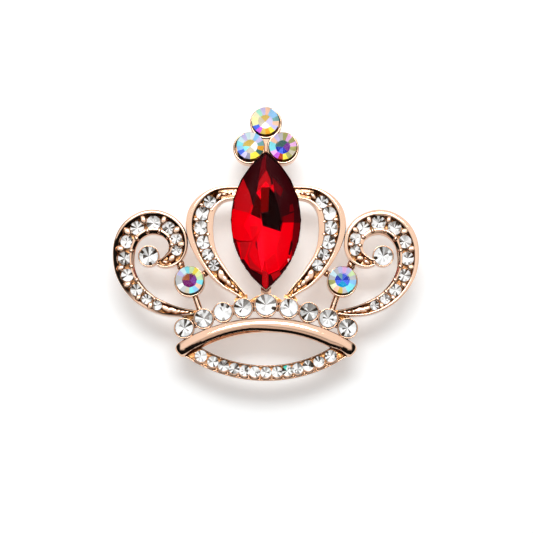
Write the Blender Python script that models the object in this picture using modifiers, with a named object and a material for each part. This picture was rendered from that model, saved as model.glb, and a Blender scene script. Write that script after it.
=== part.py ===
"""Crown brooch: a rose-gold plated openwork crown set with crystals, with a hinged pin and a turning catch.

The crown stands upright as it is worn. +Z points to its top, the front faces -Y, and the origin is on the
axis of the closed pin, halfway from its hinge to its catch. The pin is upright behind the marquise stone.
Left and right are those of somebody who looks at the front.

Sizes are in millimetres. A point of the metalwork is (x, height, z): height is measured forwards from the
flat back of the crown, and z upwards from the lowest point of the band.
"""

import math

import bmesh
import bpy
from mathutils import Matrix, Vector

MM = 0.001

# Where the metalwork lies
ORIGIN_Z = 24.4  # the middle of the pin, above the foot of the band
BACK_Y = -3.6  # the crown's flat back, in front of the pin's axis
SOLDER_GAP = 0.05  # between pieces that touch

# Band: two arcs that form a lens. The lower rail is a channel and the upper one is the polished arch bar.
BAND_BOTTOM = {"apex": 0.12, "radius": 20.7, "half_span": 11.35}
BAND_TOP = {"apex": 2.3, "radius": 17.8, "half_span": 9.05}
BAR_BOTTOM = {"apex": 7.05, "radius": -20.3, "half_span": 11.45}
BAR_TOP = {"apex": 8.87, "radius": -23.2, "half_span": 12.75}
BAR_HEIGHT = 2.6
BAR_SIDE_HEIGHT = 0.5
# The band's stones: (distance along the channel from its middle, diameter), the same on both sides
BAND_ROW = ((0.0, 1.62), (1.56, 1.62), (3.0, 1.62), (4.5, 1.62), (6.05, 1.62), (7.65, 1.62), (9.5, 1.75))

# Gallery: nine cups on an arc above the bar. The middle one is larger and sits a little higher.
GALLERY_APEX = 10.6
GALLERY_RADIUS = 23.0
GALLERY_ANGLES = (-30.0, -22.4, -15.25, -8.1, 0, 8.1, 15.25, 22.4, 30.0)
GALLERY_STONE_RADIUS = 1.27
MIDDLE_STONE_RADIUS = 1.5
MIDDLE_LIFT = 0.2
FOOT_RADIUS = 0.45
GALLERY_WIRE = {"radius": 0.28, "height": 0.32}

# Rails as (x, z, width) along their middle, for the right-hand side, from the foot upwards
PETAL = (
    (3.22, 12.08, 0.7),
    (4.45, 13.25, 1.05),
    (5.6, 14.25, 1.6),
    (6.75, 15.45, 2.3),
    (7.8, 16.95, 2.8),
    (8.6, 18.5, 3.15),
    (9.15, 20.2, 3.6),
    (9.4, 22.0, 3.9),
    (9.2, 23.65, 3.8),
    (8.5, 25.0, 3.3),
    (7.35, 26.05, 2.6),
    (5.85, 26.65, 2.05),
    (3.55, 26.8, 1.7),
)
SCROLL = (
    (10.15, 9.72, 0.5),
    (11.8, 9.78, 0.9),
    (13.25, 9.98, 1.3),
    (14.65, 10.35, 1.75),
    (16.2, 11.1, 2.15),
    (17.7, 12.2, 2.45),
    (19.0, 13.75, 2.65),
    (19.85, 15.6, 2.85),
    (20.1, 17.65, 3.05),
    (19.85, 19.6, 3.25),
    (18.95, 21.25, 3.4),
    (17.4, 22.35, 3.45),
    (15.7, 22.6, 3.45),
    (13.95, 22.0, 3.25),
    (12.75, 20.75, 3.0),
    (12.4, 19.15, 2.7),
    (12.8, 17.85, 2.2),
    (13.6, 17.05, 1.6),
    (14.6, 16.65, 1.0),
    (15.5, 16.75, 0.7),
)
# The rails' stones: (distance along the channel from its foot, diameter)
PETAL_ROW = ((5.95, 1.62), (7.7, 1.7), (9.6, 1.98), (11.7, 2.02), (13.75, 1.98), (15.7, 1.82))
SCROLL_ROW = (
    *((5.3, 1.36), (7.05, 1.45), (9.0, 1.75), (11.45, 1.84), (13.9, 1.9), (16.3, 1.9)),
    *((18.75, 2.0), (21.2, 2.08), (23.5, 1.88), (25.4, 1.66), (27.1, 1.5)),
)
SCROLL_END = (16.55, 17.72)
SCROLL_END_STONE_RADIUS = 1.33

# Channel section shared by the rails: rims stand above a floor that the stones sit on
FLOOR_HEIGHT = 0.7
RAIL_RIM_SHARES = (0.23, 0.135)  # outer and inner, of a rail this wide or wider
FULL_RIM_WIDTH = 3.4
LEAST_RIMS = (0.22, 0.15)
RAIL_RIM_HEIGHTS = (2.25, 2.05)
RIM_CHAMFER = 0.2
BAND_RIMS = (0.25, 0.17)
BAND_RIM_HEIGHTS = (1.5, 1.5)
BAND_CHAMFER = 0.06

# Cups: the stones' seats
CUP_WALL = 0.14
CUP_GAP = 0.05
CUP_FLOOR = 0.45
CUP_SEGMENTS = 12

# Round stones, as shares of their diameter
TABLE_SHARE = 0.55
STONE_TURN = math.radians(7)
CROWN_SHARE = 0.19
PAVILION_SHARE = 0.4
RAIL_GIRDLE = 1.9
BAND_GIRDLE = 1.68
CUP_GIRDLE = 1.85

# Strip of adhesive under a row of stones
BED_WIDTH = 0.6
BED_LOW = FLOOR_HEIGHT + SOLDER_GAP
BED_HIGH = 1.45

# Finial: three cups above the marquise
FINIAL_CENTRES = {"top": (0.0, 36.62), "left": (-2.4, 33.0), "right": (2.4, 33.0)}
FINIAL_FOOT_Z = 30.4
FINIAL_GIRDLE = 2.6
LARGE_STONE_RADIUS = 1.97
LARGE_CUP_WALL = 0.22
SIDE_CENTRE = (10.75, 14.12)
SIDE_GIRDLE = 2.3
SIDE_CUP_WALL = 0.16
SIDE_LINK_ENDS = ((9.36, 10.24), (12.12, 16.84), (8.5, 15.45))

# Marquise: two arcs that meet in points
MARQUISE_Z = 22.55
MARQUISE_HALF_LENGTH = 9.85
MARQUISE_HALF_WIDTH = 4.97
MARQUISE_GIRDLE = 3.7
MARQUISE_POINTS = 12  # along each side
MARQUISE_CUP_WALL = 0.35
RIB_WIDTH = 1.5
RIB_HEIGHT = 0.8

# Pin and catch, upright behind the marquise. Heights here are from the origin, along Z.
HINGE_Z = 8.6
CATCH_Z = -8.5
PIN_RADIUS = 0.4
PIN_TIP_Z = -11.0
PIN_TAPER = 3.0
EYE_RADIUS = 0.95
EYE_THICKNESS = 0.9
RIVET_RADIUS = 0.4
RIVET_CLEARANCE = 0.05
EAR_RADIUS = 1.15
EAR_THICKNESS = 0.45
EAR_INNER_X = 0.55
BASE_THICKNESS = 0.5
HINGE_BASE = (3.4, 3.6)  # in X and Z
CATCH_BASE = (2.6, 3.4)
HOUSING_LENGTH = 1.6
HOUSING_RADII = (1.25, 1.8)
HOUSING_SLOT = 0.62
NECK_WIDTH = 2.0
ROTOR_RADII = (0.62, 1.18)
ROTOR_SLOT = 0.5
FLANGE_RADIUS = 1.5
FLANGE_THICKNESS = 0.22
LEVER_THICKNESS = 0.9
LEVER_LENGTH = 2.8
LEVER_WIDTH = 0.8
LEVER_ANGLE = 50.0  # from +Y towards +X

FRONT = Matrix.Rotation(math.radians(90), 4, "X")  # turns a local +Z to the front
ALONG_X = Matrix(((0, 0, 1, 0), (1, 0, 0, 0), (0, 1, 0, 0), (0, 0, 0, 1)))


# ---------------------------------------------------------------- scene and helpers


def clear_scene():
    for obj in list(bpy.data.objects):
        bpy.data.objects.remove(obj)


def new_collection(name):
    collection = bpy.data.collections.new(name)
    bpy.context.scene.collection.children.link(collection)
    return collection


def new_material(name, colour, roughness, metallic=0.0):
    material = bpy.data.materials.new(name)
    material.use_nodes = True
    shader = material.node_tree.nodes["Principled BSDF"]
    shader.inputs["Base Color"].default_value = (*colour, 1.0)
    shader.inputs["Roughness"].default_value = roughness
    shader.inputs["Metallic"].default_value = metallic
    return material


def spot(x, height, z):
    """A point of the metalwork in the row frame, in metres."""
    return Vector((x, BACK_Y - height, z - ORIGIN_Z)) * MM


def add_object(name, data, matrix=None):
    obj = bpy.data.objects.new(name, data)
    CROWN.objects.link(obj)
    if matrix is not None:
        obj.matrix_world = matrix
    return obj


def realised(obj):
    """Replaces an object by a plain mesh of what its modifiers or curve settings make, welded."""
    bpy.context.view_layer.update()
    graph = bpy.context.evaluated_depsgraph_get()
    mesh = bpy.data.meshes.new_from_object(obj.evaluated_get(graph))
    solid = bmesh.new()
    solid.from_mesh(mesh)
    bmesh.ops.remove_doubles(solid, verts=solid.verts, dist=1e-7)
    bmesh.ops.recalc_face_normals(solid, faces=solid.faces)
    solid.to_mesh(mesh)
    solid.free()
    name, matrix = obj.name, obj.matrix_world.copy()
    bpy.data.objects.remove(obj)
    return add_object(name, mesh, matrix)


def finish(obj, name, material):
    obj.name = name
    obj.data.name = name
    obj.data.materials.clear()
    obj.data.materials.append(material)
    obj.data.shade_smooth()
    obj.data.set_sharp_from_angle(angle=math.radians(30))
    return obj


def fuse(pieces):
    """One solid from overlapping ones, by Boolean unions on the first."""
    whole = pieces[0]
    for piece in pieces[1:]:
        join = whole.modifiers.new("join", "BOOLEAN")
        join.operation = "UNION"
        join.object = piece
    whole = realised(whole)
    for piece in pieces[1:]:
        bpy.data.objects.remove(piece)
    return whole


def cut(obj, cutter):
    """Takes the cutter out of an object, and removes the cutter."""
    difference = obj.modifiers.new("cut", "BOOLEAN")
    difference.operation = "DIFFERENCE"
    difference.object = cutter
    name = obj.name
    cleared = realised(obj)
    cleared.name = name
    bpy.data.objects.remove(cutter)
    return cleared


def mirrored(obj, name):
    """The left-hand twin of a right-hand piece."""
    mesh = obj.data.copy()
    mesh.transform(Matrix.Diagonal((-1, 1, 1, 1)) @ obj.matrix_world)
    mesh.flip_normals()
    twin = add_object(name, mesh)
    mesh.name = name
    return twin


def turned(profile, matrix, segments):
    """A solid turned about its local Z axis. The profile is (radius, height) down its outer side."""
    mesh = bpy.data.meshes.new("profile")
    points = [(radius * MM, 0, height * MM) for radius, height in profile]
    mesh.from_pydata(points, [(i, i + 1) for i in range(len(points) - 1)], [])
    obj = add_object("turned", mesh, matrix)
    screw = obj.modifiers.new("turn", "SCREW")
    screw.axis = "Z"
    screw.steps = screw.render_steps = segments
    screw.use_merge_vertices = True
    screw.merge_threshold = 1e-6
    return realised(obj)


def extruded(outlines, thickness, matrix):
    """A flat plate in the local XY plane, centred on it. Later outlines are holes in the first."""
    curve = bpy.data.curves.new("outline", "CURVE")
    curve.dimensions = "2D"
    curve.fill_mode = "BOTH"
    curve.extrude = thickness * MM / 2
    for outline in outlines:
        spline = curve.splines.new("POLY")
        spline.points.add(len(outline) - 1)
        for point, (u, v) in zip(spline.points, outline):
            point.co = (u * MM, v * MM, 0, 1)
        spline.use_cyclic_u = True
    return realised(add_object("plate", curve, matrix))


def wire(points, radii):
    """A round wire through (x, height, z) points."""
    curve = bpy.data.curves.new("wire", "CURVE")
    curve.dimensions = "3D"
    curve.bevel_depth = MM
    curve.bevel_resolution = 2
    curve.use_fill_caps = True
    spline = curve.splines.new("POLY")
    spline.points.add(len(points) - 1)
    for point, place, radius in zip(spline.points, points, radii):
        point.co = (*spot(*place), 1)
        point.radius = radius
    return realised(add_object("wire", curve))


def box(low, high):
    """A block between two opposite corners, in row-frame millimetres."""
    low, high = Vector(low) * MM, Vector(high) * MM
    mesh = bpy.data.meshes.new("block")
    block = bmesh.new()
    bmesh.ops.create_cube(block, size=1)
    bmesh.ops.scale(block, vec=high - low, verts=block.verts)
    bmesh.ops.translate(block, vec=(low + high) / 2, verts=block.verts)
    block.to_mesh(mesh)
    block.free()
    return add_object("block", mesh)


def loft(rings):
    """A solid skin over closed rings with the same number of points, capped at both ends."""
    mesh = bpy.data.meshes.new("loft")
    skin = bmesh.new()
    rows = [[skin.verts.new(point) for point in ring] for ring in rings]
    for row, above in zip(rows, rows[1:]):
        for i, vert in enumerate(row):
            following = (i + 1) % len(row)
            skin.faces.new((vert, row[following], above[following], above[i]))
    skin.faces.new(rows[0])
    skin.faces.new(rows[-1])
    bmesh.ops.recalc_face_normals(skin, faces=skin.faces)
    skin.to_mesh(mesh)
    skin.free()
    return add_object("loft", mesh)


def arc_points(radius, start, end, count, centre=(0, 0)):
    """Points on an arc in a plane, with its angles in degrees."""
    angles = [math.radians(start + (end - start) * i / count) for i in range(count + 1)]
    return [(centre[0] + radius * math.cos(a), centre[1] + radius * math.sin(a)) for a in angles]


# ---------------------------------------------------------------- rails


def smooth(points, per_span):
    """A Catmull-Rom curve through the points, each a tuple of the same length."""
    ends = [tuple(2 * a - b for a, b in zip(points[0], points[1]))]
    ends.append(tuple(2 * a - b for a, b in zip(points[-1], points[-2])))
    run = [ends[0], *points, ends[1]]
    curve = []
    for p0, p1, p2, p3 in zip(run, run[1:], run[2:], run[3:]):
        for step in range(per_span):
            t = step / per_span
            curve.append(
                tuple(
                    b + 0.5 * t * (c - a + t * (2 * a - 5 * b + 4 * c - d + t * (3 * (b - c) + d - a)))
                    for a, b, c, d in zip(p0, p1, p2, p3)
                )
            )
    return [*curve, points[-1]]


def stations_of(spine, per_span):
    """(outer, inner) edge points along a rail. The outer edge lies to the right of its direction."""
    run = smooth(spine, per_span)
    stations = []
    for i, (x, z, width) in enumerate(run):
        before, after = run[max(i - 1, 0)], run[min(i + 1, len(run) - 1)]
        along = Vector((after[0] - before[0], after[1] - before[1])).normalized()
        across = Vector((along.y, -along.x)) * width / 2
        stations.append((Vector((x, z)) + across, Vector((x, z)) - across))
    return stations


def arc_edge(arc, share):
    """A point of one of the band's arcs. Share runs from -1 at its left end to 1 at its right end."""
    x = arc["half_span"] * share
    radius = arc["radius"]
    sagitta = abs(radius) - math.sqrt(radius * radius - x * x)
    return Vector((x, arc["apex"] + math.copysign(sagitta, radius)))


def arc_stations(outer, inner, count, start, end):
    shares = [start + (end - start) * i / count for i in range(count + 1)]
    return [(arc_edge(outer, share), arc_edge(inner, share)) for share in shares]


def rail_rims(width):
    """Widths of a rail's outer and inner rims. Both thin out where the rail is narrow."""
    share = min(1.0, width / FULL_RIM_WIDTH)
    return tuple(max(least, share * full * width) for least, full in zip(LEAST_RIMS, RAIL_RIM_SHARES))


def band_rims(width):
    return BAND_RIMS


def channel_section(width, rims, heights, edge):
    """(across, height) round a channel, from its outer edge at the back. Edge is the rims' chamfer."""
    outer, inner = rims(width)
    outer_edge, inner_edge = min(edge, outer * 0.3), min(edge, inner * 0.3)
    return (
        (0, 0),
        (0, heights[0] - outer_edge),
        (outer_edge, heights[0]),
        (outer - outer_edge, heights[0]),
        (outer, heights[0] - outer_edge),
        (outer, FLOOR_HEIGHT),
        (width - inner, FLOOR_HEIGHT),
        (width - inner, heights[1] - inner_edge),
        (width - inner + inner_edge, heights[1]),
        (width - inner_edge, heights[1]),
        (width, heights[1] - inner_edge),
        (width, 0),
    )


def rail_section(width):
    return channel_section(width, rail_rims, RAIL_RIM_HEIGHTS, RIM_CHAMFER)


def dome_section(width, points=8):
    """(across, height) round the polished bar: a flat back and a domed front."""
    dome = [(0, 0)]
    for i in range(points + 1):
        angle = math.pi * i / points
        rise = (BAR_HEIGHT - BAR_SIDE_HEIGHT) * math.sin(angle)
        dome.append((width * (1 - math.cos(angle)) / 2, BAR_SIDE_HEIGHT + rise))
    return [*dome, (width, 0)]


def rail(stations, section):
    rings = []
    for outer, inner in stations:
        width = (inner - outer).length
        ring = []
        for across, height in section(width):
            point = outer.lerp(inner, across / width)
            ring.append(spot(point.x, height, point.y))
        rings.append(ring)
    return loft(rings)


def channel_line(stations, rims):
    """The middle of a rail's channel."""
    line = []
    for outer, inner in stations:
        width = (inner - outer).length
        outer_rim, inner_rim = rims(width)
        line.append(outer.lerp(inner, (width + outer_rim - inner_rim) / 2 / width))
    return line


def along(line, distance):
    """The point that far along a line."""
    for a, b in zip(line, line[1:]):
        step = (b - a).length
        if distance <= step:
            return a.lerp(b, distance / step)
        distance -= step
    return line[-1]


def row_of_stones(line, row):
    """(x, z, radius) of the stones set along a channel."""
    places = []
    for distance, diameter in row:
        point = along(line, distance)
        places.append((point.x, point.y, diameter / 2))
    return places


# ---------------------------------------------------------------- stones and cups


def round_stone(x, z, radius, girdle, segments=12):
    """A brilliant with a flat table, a girdle edge and a pointed back."""
    profile = (
        (0, girdle + 2 * radius * CROWN_SHARE),
        (radius * TABLE_SHARE, girdle + 2 * radius * CROWN_SHARE),
        (radius, girdle),
        (0, girdle - 2 * radius * PAVILION_SHARE),
    )
    place = Matrix.Translation(spot(x, 0, z)) @ FRONT
    return turned(profile, place @ Matrix.Rotation(STONE_TURN, 4, "Z"), segments)


def cup(x, z, stone_radius, rim_height, wall=CUP_WALL, segments=CUP_SEGMENTS):
    inner = stone_radius + CUP_GAP
    profile = (
        (0, CUP_FLOOR),
        (inner, CUP_FLOOR),
        (inner, rim_height),
        (inner + wall, rim_height),
        (inner + wall, 0),
        (0, 0),
    )
    return turned(profile, Matrix.Translation(spot(x, 0, z)) @ FRONT, segments)


def bore(x, z, stone_radius):
    """The inside of a cup and all that stands in front of it, to clear a stone's seat with."""
    radius = stone_radius + CUP_GAP + 0.02
    profile = ((0, 6), (radius, 6), (radius, CUP_FLOOR / 2), (0, CUP_FLOOR / 2))
    return turned(profile, Matrix.Translation(spot(x, 0, z)) @ FRONT, CUP_SEGMENTS)


def bedded_stones(places, girdle, segments=8):
    """A row of stones held together by the strip of adhesive that they are set in."""
    middles = [Vector((x, z)) for x, z, _ in places]
    rings = []
    for i, middle in enumerate(middles):
        step = middles[min(i + 1, len(middles) - 1)] - middles[max(i - 1, 0)]
        side = Vector((step.y, -step.x)).normalized() * BED_WIDTH / 2
        right, left = middle + side, middle - side
        corners = ((right, BED_LOW), (left, BED_LOW), (left, BED_HIGH), (right, BED_HIGH))
        rings.append([spot(corner.x, height, corner.y) for corner, height in corners])
    return fuse([loft(rings), *(round_stone(x, z, r, girdle, segments) for x, z, r in places)])


# ---------------------------------------------------------------- metalwork of the crown


def band_section(width):
    return channel_section(width, band_rims, BAND_RIM_HEIGHTS, BAND_CHAMFER)


def make_band():
    stations = arc_stations(BAND_BOTTOM, BAND_TOP, 18, -1, 1)
    finish(rail(stations, band_section), "band_rail", ROSE_GOLD)
    line = channel_line(arc_stations(BAND_BOTTOM, BAND_TOP, 60, -1, 1), band_rims)
    length = sum((b - a).length for a, b in zip(line, line[1:]))
    left = [(length / 2 - distance, diameter) for distance, diameter in reversed(BAND_ROW)]
    right = [(length / 2 + distance, diameter) for distance, diameter in BAND_ROW[1:]]
    places = row_of_stones(line, left + right)
    finish(bedded_stones(places, BAND_GIRDLE), "band_stones", CRYSTAL)


def make_arch_bar():
    stations = arc_stations(BAR_TOP, BAR_BOTTOM, 18, 1, -1)
    finish(rail(stations, dome_section), "arch_bar", ROSE_GOLD)


def gallery_places():
    """(x, z, stone radius) of the nine cups."""
    places = []
    for angle in GALLERY_ANGLES:
        turn = math.radians(angle)
        x = GALLERY_RADIUS * math.sin(turn)
        z = GALLERY_APEX - GALLERY_RADIUS * (1 - math.cos(turn))
        middle = angle == 0
        radius = MIDDLE_STONE_RADIUS if middle else GALLERY_STONE_RADIUS
        places.append((x, z + MIDDLE_LIFT * middle, radius))
    return places


def foot(x, z, radius):
    """A short post from a gallery cup down to the arch bar, square to the bar's arc."""
    down = Vector((0, BAR_TOP["apex"] + BAR_TOP["radius"])) - Vector((x, z))
    reach = down.length - abs(BAR_TOP["radius"]) - SOLDER_GAP
    start = Vector((x, z)) + down.normalized() * (radius - 0.1)
    end = Vector((x, z)) + down.normalized() * reach
    return wire(((start.x, 0.8, start.y), (end.x, 0.8, end.y)), (FOOT_RADIUS, FOOT_RADIUS))


def make_gallery():
    places = gallery_places()
    pieces = [cup(x, z, radius, CUP_GIRDLE + 0.05) for x, z, radius in places]
    run = [(x, GALLERY_WIRE["height"], z) for x, z, _ in places]
    pieces.append(wire(run, [GALLERY_WIRE["radius"]] * len(run)))
    pieces.extend(foot(x, z, cup_radius(radius)) for x, z, radius in places[1:-1])
    finish(fuse(pieces), "gallery_cups", ROSE_GOLD)
    for number, (x, z, radius) in enumerate(places, 1):
        finish(round_stone(x, z, radius, CUP_GIRDLE), f"gallery_stone_{number}", CRYSTAL)


def make_petals():
    right = finish(rail(stations_of(PETAL, 2), rail_section), "right_petal", ROSE_GOLD)
    mirrored(right, "left_petal")
    line = channel_line(stations_of(PETAL, 12), rail_rims)
    places = row_of_stones(line, PETAL_ROW)
    stones = finish(bedded_stones(places, RAIL_GIRDLE), "right_petal_stones", CRYSTAL)
    mirrored(stones, "left_petal_stones")


def make_scrolls():
    curl = rail(stations_of(SCROLL, 2), rail_section)
    curl = cut(curl, bore(*SCROLL_END, SCROLL_END_STONE_RADIUS))
    end_cup = cup(*SCROLL_END, SCROLL_END_STONE_RADIUS, CUP_GIRDLE + 0.05)
    right = finish(fuse([curl, end_cup]), "right_scroll", ROSE_GOLD)
    mirrored(right, "left_scroll")
    line = channel_line(stations_of(SCROLL, 12), rail_rims)
    places = row_of_stones(line, SCROLL_ROW)
    for side, word in ((-1, "left"), (1, "right")):
        for number, (x, z, radius) in enumerate(places, 1):
            stone = round_stone(side * x, z, radius, RAIL_GIRDLE)
            finish(stone, f"{word}_scroll_stone_{number:02d}", CRYSTAL)
        x, z = SCROLL_END
        stone = round_stone(side * x, z, SCROLL_END_STONE_RADIUS, CUP_GIRDLE)
        finish(stone, f"{word}_scroll_end_stone", CRYSTAL)


def marquise_ring(scale, height, shorter=0.0):
    """The marquise outline at one height. Shorter takes that much off its half width and half length."""
    long = MARQUISE_HALF_LENGTH * scale - 2 * shorter
    wide = MARQUISE_HALF_WIDTH * scale - shorter
    radius = (long * long + wide * wide) / (2 * wide)
    ring = []
    for side in (1, -1):
        for i in range(MARQUISE_POINTS):
            z = side * long * math.cos(math.pi * i / MARQUISE_POINTS)
            x = side * (math.sqrt(radius * radius - z * z) - (radius - wide))
            ring.append(spot(x, height, MARQUISE_Z + z))
    return ring


def make_marquise():
    girdle = MARQUISE_GIRDLE
    stone = loft(
        [
            marquise_ring(0.12, girdle - 3.1),
            marquise_ring(0.62, girdle - 1.9),
            marquise_ring(1.0, girdle - 0.05),
            marquise_ring(1.0, girdle + 0.1),
            marquise_ring(0.74, girdle + 1.2),
            marquise_ring(0.45, girdle + 1.75),
        ]
    )
    finish(stone, "marquise_stone", RUBY)
    wall = MARQUISE_CUP_WALL
    shell = loft(
        [
            marquise_ring(0.42, 0),
            marquise_ring(0.7, 0.9),
            marquise_ring(0.92, 2.9),
            marquise_ring(0.92, 2.9, wall),
            marquise_ring(0.7, 1.15, wall),
            marquise_ring(0.42, 0.45, wall),
        ]
    )
    top_z = FINIAL_FOOT_Z - SOLDER_GAP
    bottom_z = gallery_places()[4][1] + cup_radius(MIDDLE_STONE_RADIUS)
    rib = box(
        (-RIB_WIDTH / 2, BACK_Y - RIB_HEIGHT, bottom_z + SOLDER_GAP - ORIGIN_Z),
        (RIB_WIDTH / 2, BACK_Y, top_z - ORIGIN_Z),
    )
    inside = loft(
        [
            marquise_ring(0.42, 0.45, wall),
            marquise_ring(0.7, 1.15, wall),
            marquise_ring(0.92, 3.2, wall),
        ]
    )
    cut = rib.modifiers.new("clear the seat", "BOOLEAN")
    cut.object = inside
    rib = realised(rib)
    bpy.data.objects.remove(inside)
    finish(fuse([shell, rib]), "marquise_cup", ROSE_GOLD)


def cup_radius(stone_radius, wall=CUP_WALL):
    return stone_radius + CUP_GAP + wall


def make_finial():
    pieces = []
    for word, (x, z) in FINIAL_CENTRES.items():
        pieces.append(cup(x, z, LARGE_STONE_RADIUS, FINIAL_GIRDLE, LARGE_CUP_WALL, 16))
        stone = round_stone(x, z, LARGE_STONE_RADIUS, FINIAL_GIRDLE)
        finish(stone, f"finial_stone_{word}", RAINBOW)
    neck = box(
        (-RIB_WIDTH / 2, BACK_Y - RIB_HEIGHT / 2, FINIAL_FOOT_Z - ORIGIN_Z),
        (RIB_WIDTH / 2, BACK_Y - 0.001, FINIAL_CENTRES["top"][1] - ORIGIN_Z),
    )
    finish(fuse([*pieces, neck]), "finial_cups", ROSE_GOLD)


def make_side_cups():
    x, z = SIDE_CENTRE
    links = [wire(((x, 0.7, z), (end_x, 0.7, end_z)), (0.4, 0.4)) for end_x, end_z in SIDE_LINK_ENDS]
    links = cut(fuse(links), bore(x, z, LARGE_STONE_RADIUS))
    seat = cup(x, z, LARGE_STONE_RADIUS, SIDE_GIRDLE, SIDE_CUP_WALL, 16)
    right = finish(fuse([seat, links]), "right_side_cup", ROSE_GOLD)
    mirrored(right, "left_side_cup")
    for side, word in ((-1, "left"), (1, "right")):
        stone = round_stone(side * x, z, LARGE_STONE_RADIUS, SIDE_GIRDLE)
        finish(stone, f"{word}_side_stone", RAINBOW)


# ---------------------------------------------------------------- pin and catch


def base_plate(size, z):
    """A soldering plate on the crown's back."""
    half_x, half_z = size[0] / 2, size[1] / 2
    low_y = BACK_Y + SOLDER_GAP
    return box((-half_x, low_y, z - half_z), (half_x, low_y + BASE_THICKNESS, z + half_z))


def x_plate(outlines, thickness, x, z):
    """Outlines drawn in Y and Z about the pin's axis at that height, as a plate centred on that x."""
    return extruded(outlines, thickness, Matrix.Translation(Vector((x, 0, z)) * MM) @ ALONG_X)


def z_plate(outline, start, end):
    """An outline drawn about the pin's axis with its local +X as +Y, as a plate from start to end."""
    middle = Matrix.Translation(Vector((0, 0, (start + end) / 2)) * MM)
    return extruded((outline,), end - start, middle @ Matrix.Rotation(math.radians(90), 4, "Z"))


def with_origin(obj, z):
    """Moves an object's origin to a height on the pin's axis, leaving its shape in place."""
    place = Matrix.Translation((0, 0, z * MM))
    obj.data.transform(place.inverted() @ obj.matrix_world)
    obj.matrix_world = place
    return obj


def make_hinge():
    foot_y = BACK_Y + SOLDER_GAP + BASE_THICKNESS / 2
    outline = [(foot_y, EAR_RADIUS), (foot_y, -EAR_RADIUS), *arc_points(EAR_RADIUS, -90, 90, 10)]
    hole = arc_points(RIVET_RADIUS + RIVET_CLEARANCE, 0, 360, 16)[:-1]
    ear_x = EAR_INNER_X + EAR_THICKNESS / 2
    ears = [x_plate((outline, hole), EAR_THICKNESS, side * ear_x, HINGE_Z) for side in (-1, 1)]
    finish(fuse([base_plate(HINGE_BASE, HINGE_Z), *ears]), "hinge_bracket", ROSE_GOLD)

    shoulder = EAR_INNER_X + EAR_THICKNESS + SOLDER_GAP
    half = ((0, shoulder + 0.3), (0.5, shoulder + 0.3), (0.75, shoulder + 0.12), (0.75, shoulder))
    shank = ((RIVET_RADIUS, shoulder), (RIVET_RADIUS, -shoulder))
    profile = [*half, *shank, *((radius, -along_x) for radius, along_x in reversed(half))]
    rivet = turned(profile, Matrix.Translation((0, 0, HINGE_Z * MM)) @ ALONG_X, 16)
    finish(rivet, "hinge_rivet", STEEL)


def make_pin():
    hole = arc_points(RIVET_RADIUS + RIVET_CLEARANCE, 0, 360, 16)[:-1]
    rim = arc_points(EYE_RADIUS, 0, 360, 20)[:-1]
    eye = x_plate((rim, hole), EYE_THICKNESS, 0, HINGE_Z)
    start = HINGE_Z - (EYE_RADIUS + RIVET_RADIUS + RIVET_CLEARANCE) / 2
    run = [(0, BACK_Y, ORIGIN_Z + z) for z in (start, PIN_TIP_Z + PIN_TAPER, PIN_TIP_Z)]
    stem = fuse([wire(run, (PIN_RADIUS, PIN_RADIUS, 0.08)), eye])
    finish(with_origin(stem, HINGE_Z), "pin_stem", STEEL)


def c_outline(inner, outer, slot):
    """A ring in the local XY plane with a slot towards +X."""
    inner_gap = math.degrees(math.asin(slot / inner))
    outer_gap = math.degrees(math.asin(slot / outer))
    return [
        *arc_points(outer, outer_gap, 360 - outer_gap, 20),
        *arc_points(inner, 360 - inner_gap, inner_gap, 16),
    ]


def make_catch():
    start, end = CATCH_Z - HOUSING_LENGTH / 2, CATCH_Z + HOUSING_LENGTH / 2
    ring = z_plate(c_outline(*HOUSING_RADII, HOUSING_SLOT), start, end)
    foot_y = BACK_Y + SOLDER_GAP + BASE_THICKNESS / 2
    neck = box((-NECK_WIDTH / 2, foot_y, start), (NECK_WIDTH / 2, -sum(HOUSING_RADII) / 2, end))
    finish(fuse([ring, neck, base_plate(CATCH_BASE, CATCH_Z)]), "catch_housing", ROSE_GOLD)

    lever_start = end + SOLDER_GAP
    lever_end = lever_start + LEVER_THICKNESS
    flange_end = start - SOLDER_GAP
    flange_start = flange_end - FLANGE_THICKNESS
    sleeve = z_plate(c_outline(*ROTOR_RADII, ROTOR_SLOT), flange_start, lever_end)
    inner = ROTOR_RADII[0]
    collar = z_plate(c_outline(inner, FLANGE_RADIUS, ROTOR_SLOT), lever_start, lever_end)
    flange = z_plate(c_outline(inner, FLANGE_RADIUS, ROTOR_SLOT), flange_start, flange_end)
    turn = Matrix.Rotation(math.radians(-LEVER_ANGLE), 2)
    half = LEVER_WIDTH / 2
    tab = [(1.0, -half), (LEVER_LENGTH, -half), (LEVER_LENGTH, half), (1.0, half)]
    tab = [tuple(turn @ Vector(corner)) for corner in tab]
    rotor = fuse([sleeve, collar, flange, z_plate(tab, lever_start + 0.05, lever_end - 0.05)])
    finish(with_origin(rotor, CATCH_Z), "catch_rotor", ROSE_GOLD)


# ---------------------------------------------------------------- the brooch

clear_scene()
CROWN = new_collection("crown_brooch")
ROSE_GOLD = new_material("rose_gold", (0.91, 0.62, 0.48), 0.12, 1.0)
STEEL = new_material("steel", (0.72, 0.71, 0.7), 0.25, 1.0)
CRYSTAL = new_material("crystal", (0.93, 0.95, 0.97), 0.03)
RAINBOW = new_material("rainbow_crystal", (0.72, 0.85, 0.95), 0.03)
RUBY = new_material("ruby", (0.55, 0.0, 0.02), 0.03)

make_band()
make_arch_bar()
make_gallery()
make_petals()
make_scrolls()
make_marquise()
make_finial()
make_side_cups()
make_hinge()
make_pin()
make_catch()
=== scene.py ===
"""Looks of the crown brooch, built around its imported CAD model.

The crown stands upright as it is worn: +Z to its top, the front towards -Y. Sizes are in millimetres. A point
is (x, height, z): its height is measured forwards from the flat back, and z up from the band's lowest point.
Stones in cups are placed by their CAD nodes' boxes, and those in channels by their distance along them.
"""

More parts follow.
